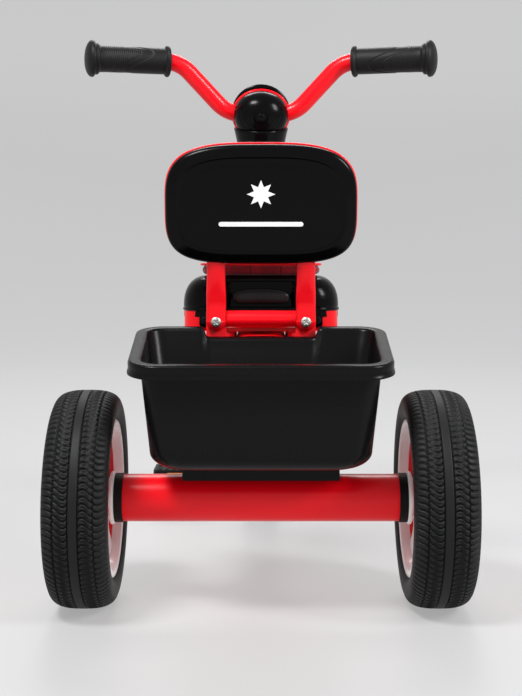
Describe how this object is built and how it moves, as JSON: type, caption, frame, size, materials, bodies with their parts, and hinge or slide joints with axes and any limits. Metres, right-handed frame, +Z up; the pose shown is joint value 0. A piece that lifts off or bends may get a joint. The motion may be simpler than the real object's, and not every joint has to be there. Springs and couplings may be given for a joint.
{
  "type": "children's tricycle",
  "caption": "Pedal tricycle with raked fork, direct-drive front wheel, cushioned seat and backrest, and a rear basket over the axle.",
  "frame": {"origin": "on the floor, under the middle of the overall length and width", "axes": "+Y forward, the way the rider faces; +X to the rider's right; +Z up"},
  "size_m": [0.46, 0.715, 0.6345],
  "materials": {
    "red_paint": "glossy baked enamel, light orange peel",
    "zinc_steel": "bright zinc plate",
    "red_plastic": "glossy moulded polypropylene",
    "gloss_black": "high-gloss moulded shell",
    "satin_black": "satin moulded polypropylene, fine grain",
    "plaid_fabric": "woven dark red plaid",
    "white_plastic": "glossy white moulded plastic",
    "tyre_foam": "matte moulded foam with block tread",
    "grip_rubber": "soft matte rubber with ribs"
  },
  "bodies": {
    "frame": {"rear_axle_tube": "red_paint", "main_tube": "red_paint", "bridge_tube": "red_paint", "crossbar": "red_paint", "post_left": "red_paint", "post_right": "red_paint", "head_tube": "red_paint", "head_cups": "zinc_steel", "axle_spacers": "satin_black", "rear_axle_rod": "zinc_steel", "axle_washers": "zinc_steel", "axle_nuts": "zinc_steel", "seat_bracket": "red_paint", "seat_bolts": "zinc_steel", "seat_base": "red_plastic", "seat_shell": "gloss_black", "seat_handle": "satin_black", "seat_cushion": "plaid_fabric", "seat_screws": "satin_black", "arm_left": "red_paint", "arm_right": "red_paint", "arm_bolts": "zinc_steel", "arm_nuts": "zinc_steel", "backrest_shell": "gloss_black", "backrest_cushion": "plaid_fabric", "backrest_screws": "zinc_steel", "basket": "satin_black", "basket_saddle": "satin_black", "basket_screws": "zinc_steel"},
    "rear_wheel_left": {"tyre_rear_left": "tyre_foam", "rim_rear_left": "white_plastic", "cover_rear_left": "red_plastic", "bushes_rear_left": "satin_black", "cap_rear_left": "satin_black"},
    "rear_wheel_right": {"tyre_rear_right": "tyre_foam", "rim_rear_right": "white_plastic", "cover_rear_right": "red_plastic", "bushes_rear_right": "satin_black", "cap_rear_right": "satin_black"},
    "steering": {"fork": "red_paint", "steerer_tube": "zinc_steel", "lock_nut": "zinc_steel", "fender": "gloss_black", "fender_bolt": "zinc_steel", "crank_bushes": "satin_black", "handlebar": "red_paint", "bar_clamp": "zinc_steel", "grip_left": "grip_rubber", "grip_right": "grip_rubber", "neck_cover": "gloss_black", "pod_shell": "gloss_black", "pod_ring": "red_plastic", "pod_cap": "gloss_black", "sound_module": "satin_black"},
    "button": {"sound_button": "satin_black"},
    "front_wheel": {"tyre_front": "tyre_foam", "rim_front": "white_plastic", "crank_axle": "zinc_steel"},
    "pedal_left": {"pedal_left": "satin_black"},
    "pedal_right": {"pedal_right": "satin_black"}
  },
  "joints": [
    {"name": "steering_turn", "type": "hinge", "parent": "frame", "child": "steering", "pos_m": [0, 0.16202, 0.37757], "axis": [0, -0.2419, 0.9703], "range_deg": [-42, 42]},
    {"name": "front_wheel_spin", "type": "hinge", "parent": "steering", "child": "front_wheel", "pos_m": [0, 0.2225, 0.135], "axis": [1, 0, 0], "continuous": true},
    {"name": "pedal_left_spin", "type": "hinge", "parent": "front_wheel", "child": "pedal_left", "pos_m": [-0.062, 0.21678, 0.0532], "axis": [1, 0, 0], "continuous": true},
    {"name": "pedal_right_spin", "type": "hinge", "parent": "front_wheel", "child": "pedal_right", "pos_m": [0.062, 0.22822, 0.2168], "axis": [1, 0, 0], "continuous": true},
    {"name": "rear_wheel_left_spin", "type": "hinge", "parent": "frame", "child": "rear_wheel_left", "pos_m": [-0.178, -0.2475, 0.11], "axis": [1, 0, 0], "continuous": true},
    {"name": "rear_wheel_right_spin", "type": "hinge", "parent": "frame", "child": "rear_wheel_right", "pos_m": [0.178, -0.2475, 0.11], "axis": [1, 0, 0], "continuous": true},
    {"name": "button_press", "type": "slide", "parent": "steering", "child": "button", "axis": [0, 0.9703, 0.2419], "range_m": [0, 0.0015], "stiffness_N_per_m": 300}
  ]
}
